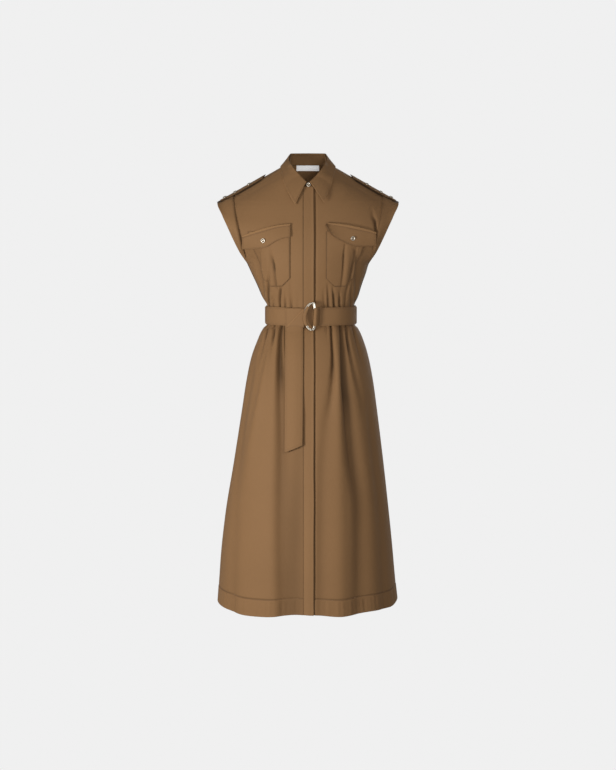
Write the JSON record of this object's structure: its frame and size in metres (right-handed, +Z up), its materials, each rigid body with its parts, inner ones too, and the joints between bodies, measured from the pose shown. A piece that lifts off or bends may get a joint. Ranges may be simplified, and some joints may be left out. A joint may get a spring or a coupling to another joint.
{
  "type": "shirt dress",
  "caption": "Belted midi shirt dress with a pointed collar, hidden button placket, flapped chest pockets, cap sleeves with shoulder straps and a gathered skirt, filled out and hollow.",
  "frame": {"origin": "middle of the neck opening, level with the neck points of the shoulder seams, where the wearer's shoulders hold the dress", "axes": "+Z up, -Y out of the front, +X towards the wearer's left"},
  "size_m": [0.472, 0.3579, 1.1784],
  "materials": {
    "twill": "smooth fine twill, tan brown, faint sheen",
    "metal": "polished pale silver metal",
    "label": "blank white woven tape"
  },
  "bodies": {
    "root": {"bodice_front_right": "twill", "bodice_front_left": "twill", "bodice_back": "twill", "sleeve_right": "twill", "sleeve_left": "twill", "collar_stand": "twill", "collar_leaf": "twill", "skirt_front_right": "twill", "skirt_front_left": "twill", "skirt_back": "twill", "placket_bodice": "twill", "placket_skirt": "twill", "pocket_right": "twill", "pocket_left": "twill", "flap_right": "twill", "flap_left": "twill", "epaulette_right": "twill", "epaulette_left": "twill", "belt": "twill", "belt_tail": "twill", "belt_turn": "twill", "belt_loop_right": "twill", "belt_loop_left": "twill", "button_neck": "metal", "button_pocket_right": "metal", "button_pocket_left": "metal", "button_shoulder_right_1": "metal", "button_shoulder_right_2": "metal", "button_shoulder_right_3": "metal", "button_shoulder_left_1": "metal", "button_shoulder_left_2": "metal", "button_shoulder_left_3": "metal", "belt_ring_1": "metal", "belt_ring_2": "metal", "neck_label": "label"}
  },
  "joints": []
}
